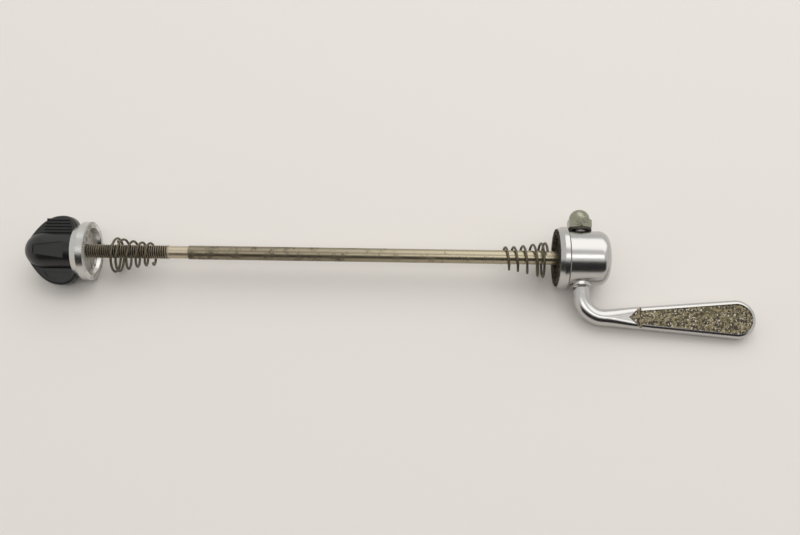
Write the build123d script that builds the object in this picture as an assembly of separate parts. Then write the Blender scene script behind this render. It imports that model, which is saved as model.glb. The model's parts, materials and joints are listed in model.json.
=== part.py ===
"""Bicycle quick-release skewer with its cam lever, in millimetres.

Design frame: X runs along the skewer from the adjusting nut to the cam lever, with x = 0 on the cam axis.
The cam axis is Y: +Y points at the acorn nut and -Y at the lever's stem. Z is the normal of the lever's paddle.
lay_down() rolls and tilts that frame until the skewer lies on the floor, with z = 0 under it and the
origin under the middle of its bounding box. X stays the longest extent.
Threads are modelled at their nominal diameter. The lever rests halfway between open and closed.
"""
import os
from math import atan, atan2, cos, degrees, hypot, pi, radians, sin, sqrt, tan

from build123d import *

os.makedirs("parts", exist_ok=True)

# ---- clearances
RUN = 0.05  # radial clearance of a running fit
GAP = 0.3  # between pieces that move past each other
SEAT = 0.02  # between pieces of one body that are seated together

# ---- skewer rod
ROD_R = 2.5
ROD_NECK_R = 2.22
THREAD_PITCH = 0.8
THREAD_ROOT_R = 2.02
CLAMP_SPAN = 167.0  # between the two clamp faces
THREAD_SHOWN = 27.6
NECK_LENGTH = 7.3
THREAD_IN_NUT = 12.6

# ---- cam housing
HOUSING_R = 9.8
HOUSING_LENGTH = 15.1
HOUSING_EDGE = 3.6
HOUSING_MOUTH = 0.4
HOUSING_DOME = 0.5
CAM_TO_CLAMP = 8.9
CAM_BORE_R = 5.6
CAM_BORE_END = 6.7

# ---- serrated clamp ring pressed into the housing
RING_R = 11.25
RING_FACE_R = 10.3
RING_THICK = 3.5
RING_BEVEL = 1.9
RING_SEAM = 0.4
RING_RECESS_R = 8.4
RING_RECESS_FLOOR_R = 8.0
RING_RECESS_DEEP = 1.8
RING_SPIGOT_R = 8.5
RING_SPIGOT = 1.1
RING_TEETH = 76
TOOTH_DEEP = 0.45
LAND = 0.3  # plain land inside the teeth
TOOTH_SHARE = 0.8  # of the pitch; the rest is flat land

# ---- cam
CAM_THROW = 1.2
LOBE_R = 2.7
LOBE_END = 3.6
JOURNAL_LAP = 0.5  # how far the journal runs into the lobe
COLLAR_R = 3.95
COLLAR_HOLE_R = 4.02
COLLAR_START = 5.95
COLLAR_END = 10.4
JOURNAL_R = 2.5
FOLLOWER_R = CAM_BORE_R - RUN
EYE_SLACK = 0.35  # the eye's clearance along the rod
EYE_SIDE = 0.15  # and across it
FOLLOWER_WALL = 1.6

# ---- acorn nut and washer on the cam's far end
WASHER_R = 4.25
WASHER_THICK = 0.8
ACORN_AF = 8.0
ACORN_HEX = 3.3
ACORN_DOME_R = 3.7
ACORN_BORE_DEEP = 5.2

# ---- lever
STEM_R = 3.0
ARM_OFFSET = 21.4
BEND_R = 7.8
ARM_R = 3.2
PADDLE_START = 20.7
PADDLE_START_W = 8.0
PADDLE_W = 13.8
PADDLE_TIP = 61.0
PADDLE_THICK = 5.0
PADDLE_EDGE = 1.9
STEP = 0.04  # how far the arm's section stands inside the paddle's where they meet
PADDLE_RECESS_DEEP = 0.55
PADDLE_RIM = 1.5
ARROW_POINT = 16.2
ARROW_BACK = 19.9
ARROW_W = 7.2
RECESS_START = 20.6
RECESS_START_W = 4.8

# ---- adjusting nut
NUT_RING_R = 10.55
NUT_RING_REAR_R = 9.3
NUT_RING_THICK = 5.1
NUT_RING_BAND = 2.7
NUT_TEETH = 72
NUT_RECESS_R = 8.4
NUT_RECESS_FLOOR_R = 7.6
NUT_RECESS_DEEP = 2.1
NUT_CORE_R = 4.4
NUT_CORE_LENGTH = 9.1
NUT_STEP_R = 6.2
NUT_STEP = 0.8
INSERT_R = 3.5
INSERT_THICK = 2.4
CAP_R = 7.0
CAP_LENGTH = 19.3
CAP_WALL = 1.8
WING_HALF = 2.3
WING_EDGE = 0.9
WING_TURN = 8.0  # degrees the wings' faces are turned from the paddle's face, about X
RIDGES = 5
RIDGE_R = 0.42
RIDGE_PITCH = 1.15
PANEL_DEEP = 0.45

# ---- springs
WIRE_R = 0.5
WIRE_SIDES = 8  # flats that stand in for the wire's round section, to keep the facets few
SPRING_TURNS = 5.5
SPRING_STATIONS = (0.0, 1.0, 2.0, 3.0, 4.0, 5.0, 5.5)  # turns from the small end's tip
SPRING_RISE = (0.0, 2.9, 6.2, 9.6, 13.4, 14.9, 15.5)  # how far along the rod each station is
SPRING_COIL_R = (3.9, 4.0, 4.45, 5.05, 5.9, 6.1, 6.12)  # coil radius there, to the wire's centre
SPRING_STEPS = 14  # points per turn
NUT_SPRING_TIP = 22.4  # from the nut's clamp face to the tip of its spring's small end
RING_SPRING_TIP = 18.9  # from the housing's clamp face to the tip of the other's
NUT_SPRING_PHASE = 159.0
RING_SPRING_PHASE = 250.0
NUT_SPRING_HANG = (0.75, 194.0, 2.6, 251.0)  # offset and its angle at the small and the large end
RING_SPRING_HANG = (0.7, 251.0, 1.7, 251.0)

# ---- how it lies
ROLL = 19.95  # degrees about the skewer, until the paddle rests on the floor

# ---- derived stations along X
CLAMP_X = -CAM_TO_CLAMP
RING_REAR_X = CLAMP_X + RING_THICK
HOUSING_X = RING_REAR_X + RING_SEAM
HOUSING_END_X = HOUSING_X + HOUSING_LENGTH
RECESS_FLOOR_X = CLAMP_X + RING_RECESS_DEEP
NUT_FACE_X = CLAMP_X - CLAMP_SPAN
NUT_REAR_X = NUT_FACE_X - NUT_RING_THICK
CAP_TIP_X = NUT_REAR_X - CAP_LENGTH
CORE_END_X = NUT_REAR_X - NUT_CORE_LENGTH
ROD_END_X = NUT_FACE_X - THREAD_IN_NUT
THREAD_END_X = NUT_FACE_X + THREAD_SHOWN
NECK_END_X = THREAD_END_X + NECK_LENGTH
EYE_HALF_X = LOBE_R + EYE_SLACK
EYE_HALF_Z = LOBE_R + CAM_THROW + EYE_SIDE
FOLLOWER_X = -(EYE_HALF_X + FOLLOWER_WALL)
FOLLOWER_END_X = EYE_HALF_X + FOLLOWER_WALL
WASHER_Y = HOUSING_R + GAP
ACORN_Y = WASHER_Y + WASHER_THICK
MIDDLE_X = (CAP_TIP_X + PADDLE_TIP) / 2 + 0.017  # the laid part's bounding box is centred here
MIDDLE_Y = -4.936
TILT = degrees(atan((RING_R - NUT_RING_R) / (CLAMP_SPAN + NUT_RING_BAND + RING_BEVEL)))
RISE = RING_R * cos(radians(TILT)) - (CLAMP_X + RING_BEVEL) * sin(radians(TILT))


def turned(points):
    """A solid turned about X from (x, radius) points."""
    return revolve(make_face(Polyline(*[(x, r) for x, r in points], close=True)), Axis.X)


def bar_x(radius, x0, x1):
    """A cylinder along X."""
    return Pos((x0 + x1) / 2, 0, 0) * Rot(0, 90, 0) * Cylinder(radius, x1 - x0)


def bar_y(radius, y0, y1, x=0.0, z=0.0):
    """A cylinder along Y."""
    return Pos(x, (y0 + y1) / 2, z) * Rot(90, 0, 0) * Cylinder(radius, abs(y1 - y0))


def block(x0, x1, y0, y1, z0, z1):
    """A box between the given limits."""
    middle = Pos((x0 + x1) / 2, (y0 + y1) / 2, (z0 + z1) / 2)
    return middle * Box(x1 - x0, y1 - y0, z1 - z0)


def ring_of_grooves(x_face, into, radius_in, radius_out, deep, count):
    """V grooves cut radially into a face across X, as one compound. into is +1 or -1, into the metal."""
    half = pi * radius_out / count * TOOTH_SHARE
    section = make_face(Polyline((x_face - into * 0.02, -half), (x_face + into * deep, 0), (x_face - into * 0.02, half), close=True))
    groove = extrude(Plane.XZ.offset(-radius_in) * section, -(radius_out + 0.5 - radius_in))
    return [Rot(360 * k / count, 0, 0) * groove for k in range(count)]


def spring_wire(tip_x, outward, turn, phase, hang):
    """A conical spring's wire along its hanging axis. outward is the way from the tip to the large end."""
    points = []
    count = int(SPRING_TURNS * SPRING_STEPS)
    for k in range(count + 1):
        at = SPRING_TURNS * k / count
        low = max(j for j in range(len(SPRING_STATIONS) - 1) if SPRING_STATIONS[j] <= at)
        part = (at - SPRING_STATIONS[low]) / (SPRING_STATIONS[low + 1] - SPRING_STATIONS[low])
        rise = SPRING_RISE[low] + part * (SPRING_RISE[low + 1] - SPRING_RISE[low])
        coil = SPRING_COIL_R[low] + part * (SPRING_COIL_R[low + 1] - SPRING_COIL_R[low])
        share = rise / SPRING_RISE[-1]
        off_y = (1 - share) * hang[0] * cos(radians(hang[1])) + share * hang[2] * cos(radians(hang[3]))
        off_z = (1 - share) * hang[0] * sin(radians(hang[1])) + share * hang[2] * sin(radians(hang[3]))
        angle = radians(phase) + turn * 2 * pi * at
        points.append((tip_x + outward * rise, off_y + coil * cos(angle), off_z + coil * sin(angle)))
    path = Polyline(*points)
    start = Plane(origin=path @ 0, z_dir=path % 0)
    return sweep(start * RegularPolygon(WIRE_R, WIRE_SIDES), path=path, transition=Transition.RIGHT)


def build_skewer_rod():
    """The rod, with its thread's crests at full diameter and the necked length behind the thread."""
    end_x = FOLLOWER_X + 1.2
    return turned([(ROD_END_X, 0), (ROD_END_X, ROD_R - 0.5), (ROD_END_X + 0.5, ROD_R), (THREAD_END_X, ROD_R),
                   (THREAD_END_X + 0.3, ROD_NECK_R), (NECK_END_X - 0.3, ROD_NECK_R), (NECK_END_X, ROD_R),
                   (end_x, ROD_R), (end_x, 0)])


def build_cam_follower():
    """The head on the rod that the cam's lobe turns in."""
    body = turned([(FOLLOWER_X, ROD_R + SEAT), (FOLLOWER_X, FOLLOWER_R - 0.4), (FOLLOWER_X + 0.4, FOLLOWER_R),
                   (FOLLOWER_END_X - 0.6, FOLLOWER_R), (FOLLOWER_END_X, FOLLOWER_R - 0.6), (FOLLOWER_END_X, 0),
                   (FOLLOWER_X + 1.2 + SEAT, 0), (FOLLOWER_X + 1.2 + SEAT, ROD_R + SEAT)])
    eye = extrude(Plane.XZ.offset(-FOLLOWER_R - 1) * SlotOverall(2 * EYE_HALF_Z, 2 * EYE_HALF_X, rotation=90), 2 * FOLLOWER_R + 2)
    relief_x = JOURNAL_R + CAM_THROW + EYE_SIDE
    relief = block(-relief_x, relief_x, LOBE_END - JOURNAL_LAP - GAP, FOLLOWER_R + 1, -EYE_HALF_Z, EYE_HALF_Z)
    return body - eye - relief


def build_cam_housing():
    """The chrome cup that the cam turns in."""
    dome_x = HOUSING_END_X - HOUSING_DOME
    cup = turned([(HOUSING_X, RING_SPIGOT_R + SEAT), (HOUSING_X, HOUSING_R - 0.3), (HOUSING_X + 0.3, HOUSING_R),
                  (dome_x, HOUSING_R), (HOUSING_END_X, 0), (CAM_BORE_END, 0), (CAM_BORE_END, CAM_BORE_R),
                  (RING_REAR_X + RING_SPIGOT + SEAT, CAM_BORE_R), (RING_REAR_X + RING_SPIGOT + SEAT, RING_SPIGOT_R + SEAT)])
    rim = cup.edges().filter_by(GeomType.CIRCLE).sort_by(lambda e: abs(e.center().X - dome_x) + abs(e.radius - HOUSING_R))[0]
    cup = fillet(rim, HOUSING_EDGE)
    cup -= bar_y(COLLAR_HOLE_R, -HOUSING_R - 1, 0)
    return cup - bar_y(JOURNAL_R + RUN, 0, HOUSING_R + 1)


def build_housing_clamp_ring():
    """The serrated steel ring that bites the frame, pressed into the cup's mouth."""
    ring = turned([(CLAMP_X, RING_RECESS_R), (CLAMP_X, RING_FACE_R), (CLAMP_X + RING_BEVEL, RING_R), (RING_REAR_X, RING_R),
                   (RING_REAR_X, RING_SPIGOT_R), (RING_REAR_X + RING_SPIGOT, RING_SPIGOT_R),
                   (RING_REAR_X + RING_SPIGOT, CAM_BORE_R), (RECESS_FLOOR_X, CAM_BORE_R),
                   (RECESS_FLOOR_X, RING_RECESS_FLOOR_R)])
    return ring - ring_of_grooves(CLAMP_X, 1, RING_RECESS_R + LAND, RING_FACE_R + 0.4, TOOTH_DEEP, RING_TEETH)


def build_acorn_nut():
    """The hexagon dome nut on the cam's far end, its bore blind."""
    corner = ACORN_AF / sqrt(3)
    profile = make_face([Polyline((0, 0), (corner - 0.5, 0), (corner, 0.35), (corner, ACORN_HEX - 0.5), (ACORN_DOME_R, ACORN_HEX)),
                         CenterArc((0, ACORN_HEX), ACORN_DOME_R, 0, 90), Line((0, ACORN_HEX + ACORN_DOME_R), (0, 0))])
    prism = extrude(Plane.XZ.offset(1) * RegularPolygon(ACORN_AF / 2, 6, major_radius=False, rotation=30), -ACORN_HEX - ACORN_DOME_R - 2)
    nut = Pos(0, ACORN_Y, 0) * (revolve(profile, Axis.Y) & prism)
    return nut - bar_y(JOURNAL_R + SEAT, ACORN_Y - 1, ACORN_Y + ACORN_BORE_DEEP)


def build_lock_washer():
    """The washer under the acorn nut."""
    return bar_y(WASHER_R, WASHER_Y, ACORN_Y) - bar_y(JOURNAL_R + RUN, WASHER_Y - 1, ACORN_Y + 1)


def half_width(x):
    """Half the paddle's width at x."""
    round_x = PADDLE_TIP - PADDLE_W / 2
    return (PADDLE_START_W + (PADDLE_W - PADDLE_START_W) * (x - PADDLE_START) / (round_x - PADDLE_START)) / 2


def recess_cutter(z0, z1):
    """The recess in a face of the paddle: an arrow head whose corners break through the rim, then the long field."""
    round_x = PADDLE_TIP - PADDLE_W / 2
    end_half = PADDLE_W / 2 - PADDLE_RIM
    start_half = RECESS_START_W / 2
    arrow_half = ARROW_W / 2
    upper = Polyline((round_x, -end_half), (RECESS_START, -start_half), (RECESS_START, -arrow_half), (ARROW_BACK, -arrow_half),
                     (ARROW_POINT, 0), (ARROW_BACK, arrow_half), (RECESS_START, arrow_half), (RECESS_START, start_half),
                     (round_x, end_half))
    end = ThreePointArc((round_x, end_half), (round_x + end_half, 0), (round_x, -end_half))
    return Pos(0, -ARM_OFFSET, z0) * extrude(make_face([upper, end]), z1 - z0)


def build_cam_lever():
    """The forging: journal, lobe, collar, bent stem and paddle."""
    round_x = PADDLE_TIP - PADDLE_W / 2
    journal = bar_y(JOURNAL_R, LOBE_END - JOURNAL_LAP, ACORN_Y + ACORN_BORE_DEEP - 0.4)
    lobe = bar_y(LOBE_R, -COLLAR_START - 0.2, LOBE_END, z=CAM_THROW)
    collar = bar_y(COLLAR_R, -COLLAR_END, -COLLAR_START)
    collar = chamfer(collar.edges().filter_by(GeomType.CIRCLE).sort_by(Axis.Y)[0], 0.45)
    bend_y = -ARM_OFFSET + BEND_R
    path = Line((0, -COLLAR_END + 1, 0), (0, bend_y, 0))
    path += ThreePointArc((0, bend_y, 0), (BEND_R - BEND_R * cos(pi / 4), -ARM_OFFSET + BEND_R - BEND_R * sin(pi / 4), 0), (BEND_R, -ARM_OFFSET, 0))
    stem = sweep(Plane(origin=(0, -COLLAR_END + 1, 0), z_dir=(0, -1, 0)) * Circle(STEM_R), path=path)
    arm_start = Plane(origin=(BEND_R, -ARM_OFFSET, 0), x_dir=(0, 1, 0), z_dir=(1, 0, 0))
    arm_end = Plane(origin=(PADDLE_START + 0.3, -ARM_OFFSET, 0), x_dir=(0, 1, 0), z_dir=(1, 0, 0))
    arm_section = RectangleRounded(PADDLE_START_W - 2 * STEP, PADDLE_THICK - 2 * STEP, PADDLE_EDGE)
    arm = loft([arm_start * Circle(STEM_R), arm_end * arm_section])
    outline = make_face([Line((PADDLE_START, -PADDLE_START_W / 2), (PADDLE_START, PADDLE_START_W / 2)),
                         Line((PADDLE_START, PADDLE_START_W / 2), (round_x, PADDLE_W / 2)),
                         ThreePointArc((round_x, PADDLE_W / 2), (PADDLE_TIP, 0), (round_x, -PADDLE_W / 2)),
                         Line((round_x, -PADDLE_W / 2), (PADDLE_START, -PADDLE_START_W / 2))])
    paddle = Pos(0, -ARM_OFFSET, -PADDLE_THICK / 2) * extrude(outline, PADDLE_THICK)
    sides = [e for e in paddle.edges() if abs(abs(e.center().Z) - PADDLE_THICK / 2) < 1e-6 and e.center().X > PADDLE_START + 0.5]
    paddle = fillet(sides, PADDLE_EDGE)
    lever = journal + lobe + collar + stem + arm + paddle
    lever -= recess_cutter(PADDLE_THICK / 2 - PADDLE_RECESS_DEEP, PADDLE_THICK)
    return lever - recess_cutter(-PADDLE_THICK, -PADDLE_THICK / 2 + PADDLE_RECESS_DEEP)


def build_nut_core():
    """The nut's serrated clamp ring and the threaded stub inside the wing cap."""
    core = turned([(NUT_FACE_X - NUT_RECESS_DEEP, ROD_R + RUN), (NUT_FACE_X - NUT_RECESS_DEEP, NUT_RECESS_FLOOR_R),
                   (NUT_FACE_X, NUT_RECESS_R), (NUT_FACE_X, NUT_RING_R - 0.25), (NUT_FACE_X - 0.25, NUT_RING_R),
                   (NUT_FACE_X - NUT_RING_BAND, NUT_RING_R), (NUT_FACE_X - NUT_RING_BAND - 0.1, NUT_RING_R - 0.15),
                   (NUT_REAR_X, NUT_RING_REAR_R), (NUT_REAR_X, NUT_CORE_R), (CORE_END_X, NUT_CORE_R),
                   (CORE_END_X, INSERT_R), (CORE_END_X + INSERT_THICK, INSERT_R), (CORE_END_X + INSERT_THICK, ROD_R + RUN)])
    return core - ring_of_grooves(NUT_FACE_X, -1, NUT_RECESS_R + LAND, NUT_RING_R, TOOTH_DEEP * 0.8, NUT_TEETH)


def build_locking_insert():
    """The nylon ring that grips the thread."""
    return turned([(CORE_END_X + SEAT, ROD_R + RUN), (CORE_END_X + INSERT_THICK - SEAT, ROD_R + RUN),
                   (CORE_END_X + INSERT_THICK - SEAT, INSERT_R - SEAT), (CORE_END_X + SEAT, INSERT_R - SEAT)])


WING_POINTS = ((1.2, 3.0), (2.8, 5.6), (5.0, 8.3), (7.3, 10.4), (10.3, 12.0), (13.6, 12.55), (16.3, 12.1), (18.1, 10.7),
               (18.9, 8.9), (18.9, 3.0))


def build_wing_cap():
    """The moulded cap with two wings, ridged on one face and panelled on the other."""
    round_x = CAP_TIP_X + CAP_R + 1.2
    outer = make_face([Line((CAP_TIP_X, 0), (NUT_REAR_X - SEAT, 0)), Line((NUT_REAR_X - SEAT, 0), (NUT_REAR_X - SEAT, CAP_R)),
                       Line((NUT_REAR_X - SEAT, CAP_R), (round_x, CAP_R)),
                       EllipticalCenterArc((round_x, 0), round_x - CAP_TIP_X, CAP_R, start_angle=90, arc_size=90)])
    body = revolve(outer, Axis.X)
    wing = make_face([Spline(*[(CAP_TIP_X + x, r) for x, r in WING_POINTS[:-1]]),
                      Line((CAP_TIP_X + WING_POINTS[-2][0], WING_POINTS[-2][1]), (CAP_TIP_X + WING_POINTS[-1][0], WING_POINTS[-1][1])),
                      Line((CAP_TIP_X + WING_POINTS[-1][0], WING_POINTS[-1][1]), (CAP_TIP_X + WING_POINTS[0][0], WING_POINTS[0][1]))])
    wing = Pos(0, 0, -WING_HALF) * extrude(wing, 2 * WING_HALF)
    rims = [e for e in wing.edges() if abs(abs(e.center().Z) - WING_HALF) < 1e-6 and e.center().Y > 4]
    wing = fillet(rims, WING_EDGE)
    ridges = [Pos(CAP_TIP_X + 12.2, 7.55 + k * RIDGE_PITCH, WING_HALF) * Rot(0, 90, 0) * Cylinder(RIDGE_R, 9.6 - 0.9 * max(k - 1, 0))
              for k in range(RIDGES - 1)]
    panel = offset(make_face(Polyline((CAP_TIP_X + 7.2, 7.6), (CAP_TIP_X + 8.8, 9.8), (CAP_TIP_X + 12.2, 11.2),
                                      (CAP_TIP_X + 16.2, 10.7), (CAP_TIP_X + 17.3, 9.2), (CAP_TIP_X + 17.3, 7.6), close=True)), -0.25)
    wing = wing + ridges - Pos(0, 0, -WING_HALF - 1) * extrude(panel, 1 + PANEL_DEEP)
    cap = body + wing + Rot(180, 0, 0) * wing
    cap -= bar_x(NUT_CORE_R + SEAT, CORE_END_X - SEAT, NUT_REAR_X + 1)
    cap -= bar_x(ROD_R + RUN + 0.4, CAP_TIP_X + CAP_WALL, NUT_REAR_X)
    flat = make_face(Polyline((CAP_TIP_X + 5.0, -1.6), (CAP_TIP_X + 16.0, -3.0), (CAP_TIP_X + 16.0, 3.0), (CAP_TIP_X + 5.0, 1.6), close=True))
    for side in (0, 180):
        cap -= Rot(side, 0, 0) * Pos(0, 0, CAP_R - 1.0) * extrude(flat, 3)
    return Rot(WING_TURN, 0, 0) * cap


def build_nut_spring():
    """The conical spring on the nut's side, hanging loose on the rod."""
    return spring_wire(NUT_FACE_X + NUT_SPRING_TIP, -1, 1, NUT_SPRING_PHASE, NUT_SPRING_HANG)


def build_housing_spring():
    """The conical spring on the lever's side, hanging loose on the rod."""
    return spring_wire(CLAMP_X - RING_SPRING_TIP, 1, 1, RING_SPRING_PHASE, RING_SPRING_HANG)


def lay_down(piece):
    """Puts a piece of the design frame into the row frame, lying on the floor."""
    return Pos(-MIDDLE_X, -MIDDLE_Y, RISE) * Rot(0, -TILT, 0) * Rot(ROLL, 0, 0) * piece


PIECES = {
    "cam_housing": build_cam_housing,
    "housing_clamp_ring": build_housing_clamp_ring,
    "housing_spring": build_housing_spring,
    "cam_lever": build_cam_lever,
    "acorn_nut": build_acorn_nut,
    "lock_washer": build_lock_washer,
    "skewer_rod": build_skewer_rod,
    "cam_follower": build_cam_follower,
    "nut_spring": build_nut_spring,
    "nut_core": build_nut_core,
    "wing_cap": build_wing_cap,
    "locking_insert": build_locking_insert,
}

if __name__ == "__main__":
    for name, build in PIECES.items():
        export_step(lay_down(build()), f"parts/{name}.step")
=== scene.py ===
"""Looks of the quick-release skewer: smooth metal surfaces, thread, grit, wear, light and camera.

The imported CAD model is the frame. Pieces with a fine surface (the rod and its thread, the springs and the
lever) are computed here as grids in the part's design frame, in millimetres, and placed in the row frame.
The other CAD nodes keep their own mesh and take a finish.
"""

import json
import logging
import math
from dataclasses import dataclass
from enum import Enum
from typing import Dict, List, Sequence, Tuple

import bmesh  # noqa: E402
import bpy  # noqa: E402
import numpy as np  # noqa: E402
from mathutils import Matrix, Vector  # noqa: E402

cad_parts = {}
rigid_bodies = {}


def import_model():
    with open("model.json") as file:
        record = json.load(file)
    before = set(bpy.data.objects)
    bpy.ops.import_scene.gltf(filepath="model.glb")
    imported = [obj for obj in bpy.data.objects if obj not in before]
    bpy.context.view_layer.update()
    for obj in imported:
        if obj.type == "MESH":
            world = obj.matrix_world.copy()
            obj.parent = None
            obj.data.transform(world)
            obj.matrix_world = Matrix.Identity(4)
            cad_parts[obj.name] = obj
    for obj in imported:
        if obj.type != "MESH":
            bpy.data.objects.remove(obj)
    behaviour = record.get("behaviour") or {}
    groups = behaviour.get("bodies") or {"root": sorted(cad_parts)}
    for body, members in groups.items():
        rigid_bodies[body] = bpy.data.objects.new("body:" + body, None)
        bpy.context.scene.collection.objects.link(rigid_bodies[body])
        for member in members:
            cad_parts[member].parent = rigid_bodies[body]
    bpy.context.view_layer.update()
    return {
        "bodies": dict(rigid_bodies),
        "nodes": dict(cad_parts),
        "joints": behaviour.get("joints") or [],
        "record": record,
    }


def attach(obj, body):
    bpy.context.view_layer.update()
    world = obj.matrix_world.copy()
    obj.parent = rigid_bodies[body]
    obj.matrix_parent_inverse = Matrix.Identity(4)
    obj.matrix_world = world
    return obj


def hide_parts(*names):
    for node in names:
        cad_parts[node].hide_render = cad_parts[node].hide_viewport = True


LOG = logging.getLogger("skewer")
Array = np.ndarray
Color = Tuple[float, float, float]

# design frame: origin on the cam axis, X along the skewer, -Y to the lever's stem, Z off the paddle
CAM_POINT = (0.069633, 0.004936, 0.0112785)
ROLL = math.radians(19.95)
TILT = math.radians(0.2337227)
CLAMP_X = -8.9
NUT_FACE_X = -175.9
RING_BORE = 9.0
NUT_BORE = 7.9
ROD_DULL_X = -70.0
ROD_DULL_SOFT = 45.0
CAM_THROW = 1.2

# turned ends of the lever's forging: stations along Y and their radii
JOURNAL = ((15.9, 0.0), (15.9, 2.2), (15.6, 2.5), (3.1, 2.5), (3.1, 0.0))
LOBE = ((3.6, 0.0), (3.6, 2.7), (-6.15, 2.7), (-6.15, 0.0))
COLLAR = (
    (-5.95, 0.0), (-5.95, 3.95), (-9.95, 3.95), (-10.28, 3.82), (-10.4, 3.5), (-10.45, 3.2),
    (-10.6, 3.05), (-10.9, 2.99), (-10.9, 0.0),
)


class Body(str, Enum):
    """Names of the CAD bodies that pieces ride on."""

    HOUSING = "housing"
    LEVER = "lever"
    SKEWER = "skewer"
    SPRING = "spring_carrier"
    NUT = "adjusting_nut"


def to_row(points: Array) -> Array:
    """Moves design-frame points into the row frame.

    Args:
        points: n x 3 points in millimetres.

    Returns:
        n x 3 points in metres.
    """
    x, y, z = np.asarray(points, dtype=float).T
    y, z = y * math.cos(ROLL) - z * math.sin(ROLL), y * math.sin(ROLL) + z * math.cos(ROLL)
    x, z = x * math.cos(TILT) - z * math.sin(TILT), x * math.sin(TILT) + z * math.cos(TILT)
    return np.stack([x, y, z], axis=1) / 1000.0 + np.array(CAM_POINT)


# ---------------------------------------------------------------- grids


@dataclass
class Grid:
    """A surface of rows and columns of points, in the design frame.

    Args:
        points: rows x columns x 3 array in millimetres.
        closed: whether the last column joins the first.
        marks: material index of each quad, rows - 1 by columns, or None for all 0.
    """

    points: Array
    closed: bool = True
    marks: Array | None = None

    def faces(self, start: int) -> Tuple[Array, Array]:
        """Quads of this grid.

        Args:
            start: index of the grid's first vertex in the joined mesh.

        Returns:
            An n x 4 array of vertex indices, and the material index of each quad.
        """
        rows, columns = self.points.shape[:2]
        across = columns if self.closed else columns - 1
        i, j = np.meshgrid(np.arange(rows - 1), np.arange(across), indexing="ij")
        k = (j + 1) % columns
        here, after = i * columns, (i + 1) * columns
        quads = np.stack([here + j, here + k, after + k, after + j], axis=-1)
        marks = np.zeros((rows - 1, across), int) if self.marks is None else self.marks
        return quads.reshape(-1, 4) + start, marks.reshape(-1)


class GridMesh:
    """Joins grids into one smooth-shaded mesh object at the origin."""

    def __init__(self, name: str, grids: Sequence[Grid], sharp_deg: float = 35.0) -> None:
        """Stores what the mesh is made of.

        Args:
            name: the object's name.
            grids: its surfaces.
            sharp_deg: edges bent by more than this stay sharp.
        """
        self.name = name
        self.grids = list(grids)
        self.sharp = math.radians(sharp_deg)

    def build(self, materials: Sequence[bpy.types.Material]) -> bpy.types.Object:
        """Makes the object.

        Args:
            materials: one per mark in the grids.

        Returns:
            The new object, linked to the scene.
        """
        points, quads, marks, start = [], [], [], 0
        for grid in self.grids:
            flat = grid.points.reshape(-1, 3)
            faces, kinds = grid.faces(start)
            points.append(flat)
            quads.append(faces)
            marks.append(kinds)
            start += len(flat)
        vertices = to_row(np.concatenate(points))
        faces = np.concatenate(quads)
        mesh = bpy.data.meshes.new(self.name)
        mesh.from_pydata(vertices.tolist(), [], faces.tolist())
        mesh.polygons.foreach_set("material_index", np.concatenate(marks).astype(np.int32))
        for material in materials:
            mesh.materials.append(material)
        self.close(mesh)
        shade(mesh, self.sharp)
        thing = bpy.data.objects.new(self.name, mesh)
        bpy.context.scene.collection.objects.link(thing)
        LOG.info("%s: %d quads", self.name, len(faces))
        return thing


    @staticmethod
    def close(mesh: bpy.types.Mesh) -> None:
        """Joins points that coincide and turns every face outward.

        Args:
            mesh: the mesh to clean.
        """
        work = bmesh.new()
        work.from_mesh(mesh)
        bmesh.ops.remove_doubles(work, verts=work.verts, dist=0.000004)
        bmesh.ops.recalc_face_normals(work, faces=work.faces)
        work.to_mesh(mesh)
        work.free()
        mesh.update()


def shade(mesh: bpy.types.Mesh, angle: float) -> None:
    """Shades a mesh smooth, except across edges bent by more than an angle.

    Args:
        mesh: the mesh to shade.
        angle: the limit in radians.
    """
    mesh.polygons.foreach_set("use_smooth", np.ones(len(mesh.polygons), bool))
    mesh.set_sharp_from_angle(angle=angle)


def turned(profile: Sequence[Tuple[float, float]], columns: int = 64, offset: float = 0.0) -> Grid:
    """A surface of revolution about the design Y axis.

    Args:
        profile: stations along Y, each with its radius.
        columns: how many points go round.
        offset: how far the surface is shifted along Z.

    Returns:
        The grid.
    """
    along, radius = np.array(profile).T[:, :, None]
    angle = np.linspace(0, 2 * np.pi, columns, endpoint=False)[None, :]
    height, across = radius * np.cos(angle), radius * np.sin(angle)
    return Grid(np.stack([across, np.broadcast_to(along, across.shape), height + offset], axis=-1))


# ---------------------------------------------------------------- the rod


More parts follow.
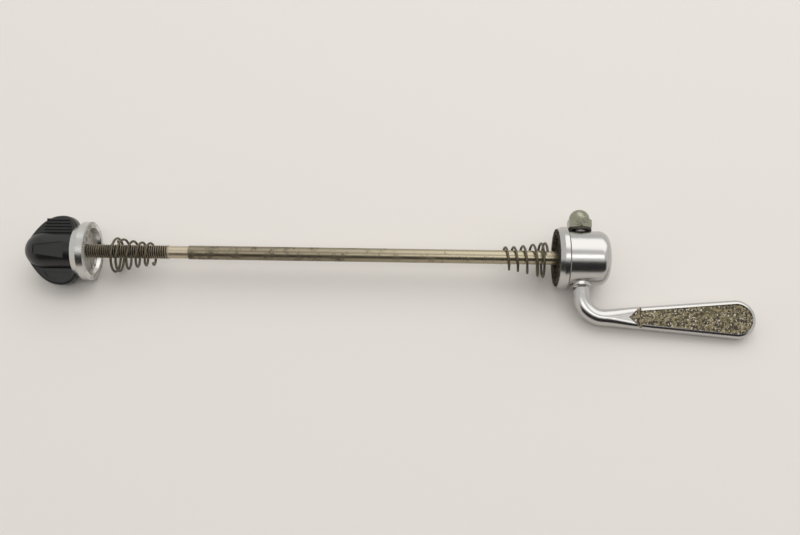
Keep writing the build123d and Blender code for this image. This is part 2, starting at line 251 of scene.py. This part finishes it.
@dataclass(frozen=True)
class Rod:
    """The skewer's rod with its rolled right-hand thread, a thinner length and the plain rod."""

    radius: float = 2.5
    root: float = 2.03
    neck: float = 2.22
    pitch: float = 0.8
    start: float = -188.5
    thread_end: float = -148.3
    neck_end: float = -141.0
    end: float = -3.45

    def depth(self, x: Array, angle: Array) -> Array:
        """Depth of the thread below its crests.

        Args:
            x: stations along the rod.
            angle: angles round it, from +Y towards +Z.

        Returns:
            The depth in millimetres.
        """
        phase = np.mod(x / self.pitch - angle / (2 * np.pi), 1.0)
        flank = np.clip(2.4 * (0.5 - np.abs(phase - 0.5)) - 0.12, 0.0, 1.0)
        fade = np.clip((self.thread_end - x) / 1.0, 0.0, 1.0) * np.clip((x - self.start) / 1.0, 0.0, 1.0)
        return (self.radius - self.root) * flank * fade

    def grid(self) -> Grid:
        """The rod's surface.

        Returns:
            The grid, marked 0 on the crests, 1 on the neck, 2 on the plain rod and 3 in the grooves.
        """
        thread = np.arange(self.start, self.thread_end, self.pitch / 12)
        rest = np.array([self.thread_end, self.thread_end + 0.3, self.neck_end - 0.25, self.neck_end - 0.05])
        plain = np.linspace(self.neck_end, self.end, 60)
        x = np.concatenate([thread, rest, plain])
        angle = np.linspace(0, 2 * np.pi, 56, endpoint=False)
        base = np.full(len(x), self.radius)
        in_neck = (x > self.thread_end + 0.2) & (x < self.neck_end - 0.1)
        base[in_neck] = self.neck
        radius = base[:, None] - self.depth(x[:, None], angle[None, :])
        radius = np.concatenate([radius[:1] * 0.001, radius[:1] * 0.8, radius, radius[-1:] * 0.001])
        x = np.concatenate([x[:1], x[:1], x, x[-1:]])
        radius[2:6] = np.minimum(radius[2:6], 2.15 + 0.1 * np.arange(4)[:, None])
        along = np.broadcast_to(x[:, None], radius.shape)
        points = np.stack([along, radius * np.cos(angle), radius * np.sin(angle)], axis=-1)
        middle = (x[1:] + x[:-1]) / 2
        kind = np.where(middle < self.thread_end, 0, np.where(middle < self.neck_end, 1, 2))
        marks = np.repeat(kind[:, None], len(angle), axis=1)
        turn = angle + np.pi / len(angle)
        # Quads deep in the thread's grooves take mark 3, which is painted with shade.
        marks[self.depth(middle[:, None], turn[None, :]) > 0.55 * (self.radius - self.root)] = 3
        return Grid(points, marks=marks)


# ---------------------------------------------------------------- the springs


@dataclass(frozen=True)
class Spring:
    """A conical compression spring that hangs loose on the rod.

    Args:
        tip: station of the small end's tip.
        outward: -1 or 1, the way from the tip to the large end.
        phase: angle of the tip in degrees.
        hang: how far the coils are off the rod's axis, and at what angle, at the small and the large end.
    """

    tip: float
    outward: int
    phase: float
    hang: Tuple[float, float, float, float]
    wire: float = 0.44
    stations: Tuple[float, ...] = (0.0, 1.0, 2.0, 3.0, 4.0, 5.0, 5.5)
    rises: Tuple[float, ...] = (0.0, 2.9, 6.2, 9.6, 13.4, 14.9, 15.5)
    coils: Tuple[float, ...] = (3.9, 4.0, 4.45, 5.05, 5.9, 6.1, 6.12)

    def centreline(self, steps: int = 264) -> Array:
        """Points along the wire's centre.

        Args:
            steps: how many intervals the wire is cut into.

        Returns:
            (steps + 1) x 3 points.
        """
        at = np.linspace(0, self.stations[-1], steps + 1)
        rise = np.interp(at, self.stations, self.rises)
        coil = np.interp(at, self.stations, self.coils)
        kernel = np.ones(13) / 13
        rise = np.convolve(np.pad(rise, 6, mode="reflect", reflect_type="odd"), kernel, mode="valid")
        share = rise / self.rises[-1]
        near, near_at, far, far_at = self.hang
        near_at, far_at = math.radians(near_at), math.radians(far_at)
        off_y = (1 - share) * near * math.cos(near_at) + share * far * math.cos(far_at)
        off_z = (1 - share) * near * math.sin(near_at) + share * far * math.sin(far_at)
        angle = math.radians(self.phase) + 2 * np.pi * at
        along = self.tip + self.outward * rise
        return np.stack([along, off_y + coil * np.cos(angle), off_z + coil * np.sin(angle)], axis=1)

    def grid(self, columns: int = 16) -> Grid:
        """The wire's surface, with both ends cut square.

        Args:
            columns: how many points go round the wire.

        Returns:
            The grid.
        """
        centre = self.centreline()
        tangent = np.gradient(centre, axis=0)
        tangent /= np.linalg.norm(tangent, axis=1)[:, None]
        side = np.cross(tangent, np.array([1.0, 0.0, 0.0]))
        side /= np.linalg.norm(side, axis=1)[:, None]
        lift = np.cross(side, tangent)
        angle = np.linspace(0, 2 * np.pi, columns, endpoint=False)
        scale = np.ones(len(centre))
        rows = np.concatenate([[0], np.arange(len(centre)), [len(centre) - 1]])
        scale = np.concatenate([[0.001], scale, [0.001]]) * self.wire
        sideways = np.cos(angle)[None, :, None] * side[rows][:, None, :]
        ring = sideways + np.sin(angle)[None, :, None] * lift[rows][:, None, :]
        return Grid(centre[rows][:, None, :] + scale[:, None, None] * ring)


NUT_SPRING = Spring(-153.5, -1, 159.0, (0.75, 194.0, 2.6, 251.0))
HOUSING_SPRING = Spring(-27.8, 1, 250.0, (0.7, 251.0, 1.7, 251.0))


# ---------------------------------------------------------------- the lever


@dataclass(frozen=True)
class Lever:
    """The forging: cam journal, lobe, collar, bent stem and paddle with a recess in both faces."""

    stem: float = 3.0
    offset: float = 21.4
    bend: float = 7.8
    stem_y: float = -9.6
    start: float = 20.7
    start_half: float = 4.0
    half: float = 6.89
    tip: float = 60.98
    edge: float = 1.9
    side: float = 0.6
    floor: float = 1.95
    arrow: Tuple[float, float, float] = (16.2, 19.9, 3.6)
    field: Tuple[float, float, float] = (20.6, 2.4, 5.4)

    @property
    def round_x(self) -> float:
        """Centre of the paddle's round end."""
        return self.tip - self.half

    def stations(self) -> Array:
        """Rows along the lever, as distance past the stem's start, negative on the stem and bend."""
        arc = self.bend * np.pi / 2
        stem = np.linspace(-arc - (self.offset - self.bend + self.stem_y), -arc, 8)[:-1]
        bend = np.linspace(-arc, 0, 40)[:-1]
        arm = np.linspace(0, self.arrow[0] - self.bend, 30)[:-1]
        a0, a1 = self.arrow[0] - self.bend, self.arrow[1] - self.bend
        head = np.linspace(a0, a1, 26)
        step = self.field[0] - self.bend
        notch = np.array([a1 + 0.2, a1 + 0.45, step - 0.03, step + 0.03])
        flat = np.linspace(step + 0.3, self.round_x - self.bend, 90)[:-1]
        angle = np.linspace(0, np.pi / 2, 46)
        end = self.round_x - self.bend + self.half * np.sin(angle)
        rim = self.round_x - self.bend + self.field[2] + np.array([-0.03, 0.03])
        return np.unique(np.concatenate([stem, bend, arm, head, notch, flat, end, rim]))

    def outline(self, s: float) -> Tuple[float, float, float]:
        """Half width, edge radius and half flat side of the section at a station.

        Args:
            s: the station.

        Returns:
            The three sizes in millimetres.
        """
        x = s + self.bend
        if s <= 0:
            return self.stem, self.stem, 0.0
        if x < self.start:
            t = s / (self.start - self.bend)
            t = t * t * (3 - 2 * t) * 0.5 + 0.5 * t
            width = self.stem + t * (self.start_half - self.stem)
            return width, self.stem + t * (self.edge - self.stem), t * self.side
        if x < self.round_x:
            t = (x - self.start) / (self.round_x - self.start)
            return self.start_half + t * (self.half - self.start_half), self.edge, self.side
        return math.sqrt(max(self.half**2 - (x - self.round_x) ** 2, 0.0)), self.edge, self.side

    def recess(self, s: float) -> Tuple[float, bool]:
        """Half width of the recess at a station, and whether it is there.

        Args:
            s: the station.

        Returns:
            The half width, small where the recess is closed, and True inside its length.
        """
        x = s + self.bend
        point, back, wide = self.arrow
        first, low, high = self.field
        width = self.outline(s)[0]
        if x <= point:
            return 0.03 + 0.5 * width * min(1.0, (point - x) / 3.0), False
        if x < back:
            return 0.03 + wide * (x - point) / (back - point), True
        if x < first:
            return wide, True
        if x < self.round_x:
            return low + (high - low) * (x - first) / (self.round_x - first), True
        left = high**2 - (x - self.round_x) ** 2
        if left <= 0:
            return min(0.03, 0.5 * width), False
        return max(math.sqrt(left), 0.03), True

    def section(self, s: float) -> Tuple[Array, Array, Array]:
        """Points across one section.

        Args:
            s: the station.

        Returns:
            Offsets across, heights of the upper face, and which columns are inside the recess.
        """
        width, edge, side = self.outline(s)
        half, there = self.recess(s)
        half = min(half, width * 0.98)
        outer = 1 - np.cos(np.linspace(0, np.pi / 2, 16))
        rim = width - (width - half) * outer
        inner = np.linspace(1, -1, 23)[1:-1] * max(half - 0.06, 0.0)
        across = np.concatenate([rim, [max(half - 0.05, 0.0)], inner, [-max(half - 0.05, 0.0)], -rim[::-1]])
        inside = np.zeros(len(across), bool)
        inside[16:-16] = True
        x = s + self.bend
        if x > self.round_x:
            far = self.half - np.hypot(x - self.round_x, across)
        else:
            far = width - np.abs(across)
        far = np.clip(far, 0, None)
        height = side + np.sqrt(np.clip(edge**2 - np.clip(edge - far, 0, None) ** 2, 0, None))
        if there:
            height = np.where(inside, np.minimum(height, self.floor), height)
        return across, height, inside & there

    def place(self, s: float, across: Array, height: Array) -> Array:
        """Puts a section's points on the bent path.

        Args:
            s: the station.
            across: offsets in the plane of the bend, positive to its inside.
            height: offsets along Z.

        Returns:
            n x 3 points.
        """
        arc = self.bend * np.pi / 2
        if s >= 0:
            return np.stack([np.full_like(across, s + self.bend), -self.offset + across, height], axis=1)
        if s > -arc:
            turn = -s / self.bend
            radius = self.bend - across
            x = self.bend - radius * math.sin(turn)
            y = -self.offset + self.bend - radius * math.cos(turn)
            return np.stack([x, y, height], axis=1)
        y = -self.offset + self.bend + (-s - arc)
        return np.stack([across, np.full_like(across, y), height], axis=1)

    def grids(self) -> List[Grid]:
        """All the forging's surfaces, marked 1 on the recess floors and 0 elsewhere."""
        rows, marks = [], []
        for s in self.stations():
            across, height, inside = self.section(float(s))
            upper = self.place(float(s), across, height)
            lower = self.place(float(s), across[::-1], -height[::-1])
            rows.append(np.concatenate([upper, lower]))
            marks.append(np.concatenate([inside, inside[::-1]]))
        flags = np.array(marks)
        quads = flags[1:] & flags[:-1] & np.roll(flags, -1, axis=1)[1:] & np.roll(flags, -1, axis=1)[:-1]
        body = Grid(np.array(rows), marks=quads.astype(int))
        return [body, turned(JOURNAL), turned(LOBE, offset=CAM_THROW), turned(COLLAR, columns=96)]


# ---------------------------------------------------------------- materials


class NodeTree:
    """Short ways to add and join shader nodes in one tree."""

    def __init__(self, tree: bpy.types.NodeTree) -> None:
        """Stores the tree.

        Args:
            tree: the node tree to add to.
        """
        self.tree = tree

    def add(self, kind: str, **settings: object) -> bpy.types.Node:
        """Adds a node.

        Args:
            kind: the node's type name.
            settings: attributes to set on it.

        Returns:
            The node.
        """
        node = self.tree.nodes.new(kind)
        for name, value in settings.items():
            setattr(node, name, value)
        return node

    def put(self, socket: bpy.types.NodeSocket, value: object) -> None:
        """Feeds a socket from another socket, or sets its constant.

        Args:
            socket: the input.
            value: an output socket or a constant.
        """
        if isinstance(value, bpy.types.NodeSocket):
            self.tree.links.new(value, socket)
        else:
            socket.default_value = value

    def math(self, operation: str, *values: object, clamp: bool = False) -> bpy.types.NodeSocket:
        """A Math node.

        Args:
            operation: its operation.
            values: its inputs.
            clamp: whether the result is held to 0..1.

        Returns:
            The output socket.
        """
        node = self.add("ShaderNodeMath", operation=operation, use_clamp=clamp)
        for socket, value in zip(node.inputs, values):
            self.put(socket, value)
        return node.outputs[0]

    def noise(
        self, vector: object, scale: float, detail: float = 4.0, rough: float = 0.55
    ) -> bpy.types.NodeSocket:
        """A noise texture's value.

        Args:
            vector: the coordinates' socket.
            scale: its scale.
            detail: its detail.
            rough: its roughness.

        Returns:
            The output socket.
        """
        node = self.add("ShaderNodeTexNoise")
        self.put(node.inputs["Vector"], vector)
        node.inputs["Scale"].default_value = scale
        node.inputs["Detail"].default_value = detail
        node.inputs["Roughness"].default_value = rough
        return node.outputs[0]

    def ramp(self, value: object, low: float, high: float) -> bpy.types.NodeSocket:
        """A smooth step of a value between two limits.

        Args:
            value: the socket.
            low: where the result is 0.
            high: where the result is 1.

        Returns:
            The output socket.
        """
        node = self.add("ShaderNodeMapRange", interpolation_type="SMOOTHSTEP")
        self.put(node.inputs[0], value)
        node.inputs[1].default_value = low
        node.inputs[2].default_value = high
        return node.outputs[0]

    def mix(self, factor: object, first: object, second: object) -> bpy.types.NodeSocket:
        """A colour mix.

        Args:
            factor: the share of the second colour.
            first: a colour or socket.
            second: a colour or socket.

        Returns:
            The output socket.
        """
        node = self.add("ShaderNodeMix", data_type="RGBA")
        self.put(node.inputs[0], factor)
        for socket, value in ((node.inputs[6], first), (node.inputs[7], second)):
            self.put(socket, value if isinstance(value, bpy.types.NodeSocket) else (*value, 1.0))
        return node.outputs[2]


WEAR_OUT = ("Color", "Metallic", "Roughness", "Height")


def wear_group() -> bpy.types.NodeTree:
    """The shared node group that puts patches of dirt or corrosion on a metal."""
    group = bpy.data.node_groups.new("Wear", "ShaderNodeTree")
    for name in ("Base", "Dirt", "Amount", "Scale", "Metallic", "Roughness", "Relief"):
        kind = "NodeSocketColor" if name in ("Base", "Dirt") else "NodeSocketFloat"
        group.interface.new_socket(name=name, in_out="INPUT", socket_type=kind)
    for name in WEAR_OUT:
        kind = "NodeSocketColor" if name == "Color" else "NodeSocketFloat"
        group.interface.new_socket(name=name, in_out="OUTPUT", socket_type=kind)
    nodes = NodeTree(group)
    given = nodes.add("NodeGroupInput").outputs
    place = nodes.add("ShaderNodeTexCoord").outputs["Object"]
    scaled = nodes.add("ShaderNodeVectorMath", operation="SCALE")
    nodes.put(scaled.inputs[0], place)
    nodes.put(scaled.inputs["Scale"], given["Scale"])
    where = scaled.outputs[0]
    patches = nodes.noise(where, 1.0, 5.0, 0.6)
    specks = nodes.noise(where, 5.5, 3.0, 0.7)
    both = nodes.math("ADD", nodes.math("MULTIPLY", patches, 0.62), nodes.math("MULTIPLY", specks, 0.38))
    level = nodes.math("SUBTRACT", 0.80, nodes.math("MULTIPLY", given["Amount"], 0.56))
    mask = nodes.math("MULTIPLY", nodes.math("SUBTRACT", both, level), 9.0, clamp=True)
    color = nodes.mix(mask, given["Base"], given["Dirt"])
    fine = nodes.noise(where, 24.0, 2.0)
    rough = nodes.math("ADD", given["Roughness"], nodes.math("MULTIPLY", mask, 0.35), clamp=True)
    grain = nodes.math("MULTIPLY", nodes.math("SUBTRACT", fine, 0.5), 0.10)
    rough = nodes.math("ADD", rough, grain, clamp=True)
    bare = nodes.math("SUBTRACT", 1.0, nodes.math("MULTIPLY", mask, 0.6))
    metal = nodes.math("MULTIPLY", given["Metallic"], bare)
    bumps = nodes.math("ADD", mask, nodes.math("MULTIPLY", fine, 0.5))
    height = nodes.math("MULTIPLY", bumps, given["Relief"])
    given_out = nodes.add("NodeGroupOutput")
    for name, value in zip(WEAR_OUT, (color, metal, rough, height)):
        nodes.put(given_out.inputs[name], value)
    return group


@dataclass(frozen=True)
class Worn:
    """A metal or plastic finish with dirt on it.

    Args:
        name: the material's name.
        base: clean colour, linear.
        dirt: colour of the dirt.
        amount: how much is covered, 0 to 1.
        scale: size of the patches, in repeats per metre.
        metallic: of the clean surface.
        roughness: of the clean surface.
        relief: height of the dirt in metres.
    """

    name: str
    base: Color
    dirt: Color
    amount: float
    scale: float = 220.0
    metallic: float = 1.0
    roughness: float = 0.2
    relief: float = 0.00002

    def node(self, nodes: NodeTree, group: bpy.types.NodeTree) -> bpy.types.Node:
        """Adds the wear group with this finish's values.

        Args:
            nodes: the material's tree.
            group: the shared group.

        Returns:
            The group node.
        """
        node = nodes.add("ShaderNodeGroup", node_tree=group)
        node.inputs["Base"].default_value = (*self.base, 1.0)
        node.inputs["Dirt"].default_value = (*self.dirt, 1.0)
        for name in ("amount", "scale", "metallic", "roughness", "relief"):
            node.inputs[name.capitalize()].default_value = getattr(self, name)
        return node

    def build(self, group: bpy.types.NodeTree) -> bpy.types.Material:
        """Makes the material.

        Args:
            group: the shared wear group.

        Returns:
            The material.
        """
        material, nodes, output = blank(self.name)
        worn = self.node(nodes, group)
        surface(nodes, output, {name: worn.outputs[name] for name in WEAR_OUT})
        return material


def surface(nodes: NodeTree, output: bpy.types.Node, values: Dict[str, bpy.types.NodeSocket]) -> None:
    """Adds the shader and feeds it.

    Args:
        nodes: the material's tree.
        output: its output node.
        values: the colour, metallic, roughness and height sockets.
    """
    bump = nodes.add("ShaderNodeBump")
    bump.inputs["Strength"].default_value = 1.0
    bump.inputs["Distance"].default_value = 1.0
    nodes.put(bump.inputs["Height"], values["Height"])
    shader = nodes.add("ShaderNodeBsdfPrincipled")
    nodes.put(shader.inputs["Base Color"], values["Color"])
    nodes.put(shader.inputs["Metallic"], values["Metallic"])
    nodes.put(shader.inputs["Roughness"], values["Roughness"])
    nodes.put(shader.inputs["Normal"], bump.outputs[0])
    nodes.put(output.inputs[0], shader.outputs[0])


def blank(name: str) -> Tuple[bpy.types.Material, NodeTree, bpy.types.Node]:
    """An empty material.

    Args:
        name: its name.

    Returns:
        The material, its tree and its output node.
    """
    material = bpy.data.materials.new(name)
    material.use_nodes = True
    material.node_tree.nodes.clear()
    nodes = NodeTree(material.node_tree)
    return material, nodes, nodes.add("ShaderNodeOutputMaterial")


def split_at(
    name: str, group: bpy.types.NodeTree, face: Worn, side: Worn, at: float, facing: int,
    soft: float = 0.1, bore: float = 0.0,
) -> bpy.types.Material:
    """A material with one finish past a station of the skewer and inside a bore, and another elsewhere.

    Args:
        name: the material's name.
        group: the shared wear group.
        face: the finish past the station and inside the bore.
        side: the finish elsewhere.
        at: the station in millimetres, design frame.
        facing: 1 where the face finish lies towards the lever, -1 where it lies towards the nut.
        soft: half the width of the change, in millimetres.
        bore: the bore's radius in millimetres.

    Returns:
        The material.
    """
    material, nodes, output = blank(name)
    offset = nodes.add("ShaderNodeVectorMath", operation="SUBTRACT")
    nodes.put(offset.inputs[0], nodes.add("ShaderNodeTexCoord").outputs["Object"])
    offset.inputs[1].default_value = CAM_POINT
    axis = (math.cos(TILT), 0.0, math.sin(TILT))
    along = nodes.add("ShaderNodeVectorMath", operation="DOT_PRODUCT")
    across = nodes.add("ShaderNodeVectorMath", operation="CROSS_PRODUCT")
    size = nodes.add("ShaderNodeVectorMath", operation="LENGTH")
    for node in (along, across):
        nodes.put(node.inputs[0], offset.outputs[0])
        node.inputs[1].default_value = axis
    nodes.put(size.inputs[0], across.outputs[0])
    past = nodes.math("MULTIPLY", nodes.math("SUBTRACT", along.outputs["Value"], at / 1000.0), facing)
    station = nodes.ramp(past, -soft / 1000.0, soft / 1000.0)
    inside = nodes.math("LESS_THAN", size.outputs["Value"], bore / 1000.0)
    share = nodes.math("MAXIMUM", station, inside)
    under, over = side.node(nodes, group).outputs, face.node(nodes, group).outputs
    values = {"Color": nodes.mix(share, under["Color"], over["Color"])}
    for kind in WEAR_OUT[1:]:
        change = nodes.math("SUBTRACT", over[kind], under[kind])
        values[kind] = nodes.math("MULTIPLY_ADD", change, share, under[kind])
    surface(nodes, output, values)
    return material


def grit_material() -> bpy.types.Material:
    """The gritty grime that fills the paddle's recess, with bright specks of bare metal."""
    material, nodes, output = blank("recess_grit")
    place = nodes.add("ShaderNodeTexCoord").outputs["Object"]
    coarse = nodes.noise(place, 880.0, 3.0, 0.75)
    fine = nodes.noise(place, 1500.0, 2.0, 0.6)
    wide = nodes.noise(place, 170.0, 2.0)
    tone = nodes.mix(nodes.ramp(coarse, 0.43, 0.60), (0.040, 0.029, 0.014), (0.33, 0.27, 0.155))
    tone = nodes.mix(nodes.math("MULTIPLY", nodes.ramp(wide, 0.5, 0.66), 0.55), tone, (0.10, 0.095, 0.03))
    specks = nodes.ramp(fine, 0.60, 0.66)
    color = nodes.mix(nodes.math("MULTIPLY", specks, 0.8), tone, (0.78, 0.75, 0.68))
    grains = nodes.math("ADD", coarse, nodes.math("MULTIPLY", fine, 0.6))
    surface(nodes, output, {
        "Color": color,
        "Metallic": nodes.math("ADD", 0.25, nodes.math("MULTIPLY", specks, 0.5)),
        "Roughness": nodes.math("SUBTRACT", 0.55, nodes.math("MULTIPLY", specks, 0.25)),
        "Height": nodes.math("MULTIPLY", grains, 0.00022),
    })
    return material


class Finishes:
    """All the materials, made once."""

    def __init__(self) -> None:
        """Builds the shared group and each material. The plain ones become attributes by their key."""
        group = wear_group()
        chrome = Worn("chrome", (0.55, 0.54, 0.525), (0.20, 0.17, 0.12), 0.16, 260, 1.0, 0.20)
        # The ring's dark finish below is partly rust and partly painted shade: it darkens the clamp ring's
        # face towards the nut and its bore, which lie in the housing's shade.
        rust_and_shade = Worn("rust_and_shade", (0.13, 0.105, 0.075), (0.020, 0.015, 0.010), 0.62, 700, 0.5, 0.55, 0.00008)
        satin = Worn("satin", (0.62, 0.61, 0.585), (0.25, 0.22, 0.17), 0.22, 420, 1.0, 0.24)
        pitted = Worn("pitted", (0.56, 0.55, 0.51), (0.12, 0.10, 0.075), 0.50, 620, 0.9, 0.42, 0.00005)
        dull = Worn("dull", (0.25, 0.215, 0.15), (0.09, 0.075, 0.048), 0.52, 230, 0.9, 0.32)
        bright = Worn("bright", (0.42, 0.37, 0.265), (0.15, 0.125, 0.08), 0.42, 230, 0.95, 0.27)
        self.chrome = chrome.build(group)
        # The clamp ring's face towards the nut and its bore take the dark finish of rust with painted shade.
        self.ring = split_at("ring_steel", group, rust_and_shade, chrome, CLAMP_X + 0.3, -1, bore=RING_BORE)
        self.nut = split_at("nut_plate", group, pitted, satin, NUT_FACE_X - 0.15, 1, bore=NUT_BORE)
        self.rod = split_at("rod_steel", group, bright, dull, ROD_DULL_X, 1, ROD_DULL_SOFT)
        plain = {
            "thread": Worn(
                "thread_steel", (0.30, 0.26, 0.195), (0.06, 0.047, 0.035), 0.45, 500, 0.85, 0.36, 0.00003
            ),
            # Painted shade: near-black colour for the deep part of the thread's grooves.
            "groove": Worn("groove_shade", (0.03, 0.023, 0.016), (0.015, 0.011, 0.008), 0.5, 500, 0.3, 0.7),
            "neck": Worn("neck_steel", (0.52, 0.45, 0.34), (0.22, 0.18, 0.12), 0.35, 240, 0.9, 0.35),
            "spring": Worn("spring_wire", (0.13, 0.11, 0.075), (0.035, 0.028, 0.018), 0.45, 520, 0.8, 0.40),
            "acorn": Worn("acorn_plate", (0.34, 0.34, 0.265), (0.10, 0.10, 0.055), 0.46, 330, 0.95, 0.24),
            "washer": Worn("washer_steel", (0.07, 0.06, 0.05), (0.02, 0.016, 0.012), 0.5, 500, 0.6, 0.5),
            "cap": Worn(
                "cap_plastic", (0.010, 0.0098, 0.0098), (0.030, 0.028, 0.025), 0.22, 500, 0.0, 0.30, 0.00001
            ),
            "steel": Worn("cam_steel", (0.40, 0.39, 0.37), (0.12, 0.10, 0.08), 0.3),
            "nylon": Worn("insert_nylon", (0.72, 0.72, 0.68), (0.5, 0.48, 0.4), 0.2, 300, 0.0, 0.45),
        }
        for name, finish in plain.items():
            setattr(self, name, finish.build(group))
        self.grit = grit_material()


# ---------------------------------------------------------------- the object


class Skewer:
    """Puts the finishes on the CAD nodes and adds the computed pieces."""

    def __init__(self, frame: Dict[str, object], finishes: Finishes) -> None:
        """Stores the frame and finishes.

        Args:
            finishes: the materials.
        """
        self.nodes: Dict[str, bpy.types.Object] = frame["nodes"]
        self.finishes = finishes

    def paint(self) -> None:
        """Gives each shown CAD node its finish and smooth shading."""
        looks = self.finishes
        for name, material, angle in (
            ("cam_housing", looks.chrome, 30), ("housing_clamp_ring", looks.ring, 20),
            ("acorn_nut", looks.acorn, 22),
            ("lock_washer", looks.washer, 30), ("nut_core", looks.nut, 20), ("wing_cap", looks.cap, 32),
            ("cam_follower", looks.steel, 30), ("locking_insert", looks.nylon, 30),
        ):
            mesh = self.nodes[name].data
            mesh.materials.clear()
            mesh.materials.append(material)
            shade(mesh, math.radians(angle))

    def add(self) -> None:
        """Adds the pieces with a computed surface and ties each to its body."""
        looks = self.finishes
        lever, rod = Lever().grids(), [Rod().grid()]
        rod_looks = [looks.thread, looks.neck, looks.rod, looks.groove]
        made = (
            ("lever_forging", lever, [looks.chrome, looks.grit], Body.LEVER, "cam_lever", "chrome_plate"),
            ("threaded_rod", rod, rod_looks, Body.SKEWER, "skewer_rod", "rod_steel"),
            ("nut_coil", [NUT_SPRING.grid()], [looks.spring], Body.SPRING, "nut_spring", "spring_wire"),
            (
                "housing_coil", [HOUSING_SPRING.grid()], [looks.spring], Body.HOUSING,
                "housing_spring", "spring_wire",
            ),
        )
        for name, grids, materials, body, node, slot in made:
            thing = GridMesh(name, grids).build(materials)
            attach(thing, body.value)
            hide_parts(node)


# ---------------------------------------------------------------- light, floor and camera


@dataclass(frozen=True)
class Panel:
    """A light panel or a dark card that the metal reflects.

    Args:
        name: its name.
        azimuth: degrees round the object, 0 towards -Y and 90 towards +X.
        elevation: degrees above the floor.
        distance: metres from the object.
        width: metres.
        height: metres.
        radiance: brightness of an area light, or 0 for a dark card.
        tint: colour of the light or card.
    """

    name: str
    azimuth: float
    elevation: float
    distance: float
    width: float
    height: float
    radiance: float
    tint: Color = (1.0, 1.0, 1.0)

    def build(self) -> bpy.types.Object:
        """Makes the panel facing the object.

        Returns:
            The new object.
        """
        az, el = math.radians(self.azimuth), math.radians(self.elevation)
        toward = Vector((math.sin(az) * math.cos(el), -math.cos(az) * math.cos(el), math.sin(el)))
        place = toward * self.distance
        if self.radiance > 0:
            data = bpy.data.lights.new(self.name, "AREA")
            data.shape, data.size, data.size_y = "RECTANGLE", self.width, self.height
            data.energy, data.color = self.radiance * math.pi * self.width * self.height, self.tint
            thing = bpy.data.objects.new(self.name, data)
        else:
            w, h = self.width / 2, self.height / 2
            mesh = bpy.data.meshes.new(self.name)
            mesh.from_pydata([(-w, -h, 0), (w, -h, 0), (w, h, 0), (-w, h, 0)], [], [(0, 1, 2, 3)])
            material, nodes, output = blank(self.name)
            shader = nodes.add("ShaderNodeEmission")
            shader.inputs[0].default_value = (*self.tint, 1.0)
            nodes.put(output.inputs[0], shader.outputs[0])
            mesh.materials.append(material)
            thing = bpy.data.objects.new(self.name, mesh)
            thing.visible_camera = False
        thing.location = place
        thing.rotation_euler = place.to_track_quat("Z", "Y").to_euler()
        bpy.context.scene.collection.objects.link(thing)
        return thing


class Studio:
    """The floor, the light and the camera."""

    panels = (
        Panel("softbox_top", 4, 66, 0.9, 0.85, 0.20, 1.7, (1.0, 0.99, 0.97)),
        Panel("softbox_back", 155, 55, 1.3, 1.8, 1.2, 0.95, (1.0, 0.99, 0.97)),
        Panel("dark_card", 0, 23, 0.8, 2.0, 0.72, 0.0, (0.030, 0.028, 0.028)),
    )

    def floor(self) -> bpy.types.Object:
        """The pale floor."""
        mesh = bpy.data.meshes.new("floor")
        mesh.from_pydata([(-3, -3, 0), (3, -3, 0), (3, 3, 0), (-3, 3, 0)], [], [(0, 1, 2, 3)])
        material, nodes, output = blank("floor")
        shader = nodes.add("ShaderNodeBsdfPrincipled")
        shader.inputs["Base Color"].default_value = (0.80, 0.765, 0.725, 1.0)
        shader.inputs["Roughness"].default_value = 0.8
        nodes.put(output.inputs[0], shader.outputs[0])
        mesh.materials.append(material)
        thing = bpy.data.objects.new("floor", mesh)
        bpy.context.scene.collection.objects.link(thing)
        return thing

    def world(self) -> None:
        """An even pale surround."""
        world = bpy.data.worlds.new("surround")
        world.use_nodes = True
        shade_node = world.node_tree.nodes["Background"]
        shade_node.inputs[0].default_value = (1.0, 0.99, 0.97, 1.0)
        shade_node.inputs[1].default_value = 0.74
        bpy.context.scene.world = world

    def camera(self) -> None:
        """The camera, high on the lever's side."""
        data = bpy.data.cameras.new("camera")
        data.lens, data.sensor_width, data.clip_start = 37.64, 36.0, 0.01
        thing = bpy.data.objects.new("camera", data)
        right = Vector((0.99978780, 0.02059040, -0.00062420))
        up = Vector((-0.01732841, 0.85701067, 0.51500723))
        back = right.cross(up)
        turn = Matrix((right, up, back)).transposed().to_4x4()
        thing.matrix_world = Matrix.Translation((0.00831622, -0.15399187, 0.26726739)) @ turn
        bpy.context.scene.collection.objects.link(thing)
        bpy.context.scene.camera = thing

    def build(self) -> None:
        """Sets up the whole stage."""
        things = [self.floor()] + [panel.build() for panel in self.panels]
        self.world()
        self.camera()
        bpy.context.scene.view_settings.view_transform = "Standard"


def main() -> None:
    """Loads the frame, dresses it and sets up the stage."""
    logging.basicConfig(level=logging.INFO)
    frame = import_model()
    skewer = Skewer(frame, Finishes())
    skewer.paint()
    skewer.add()
    Studio().build()


if __name__ == "__main__":
    main()
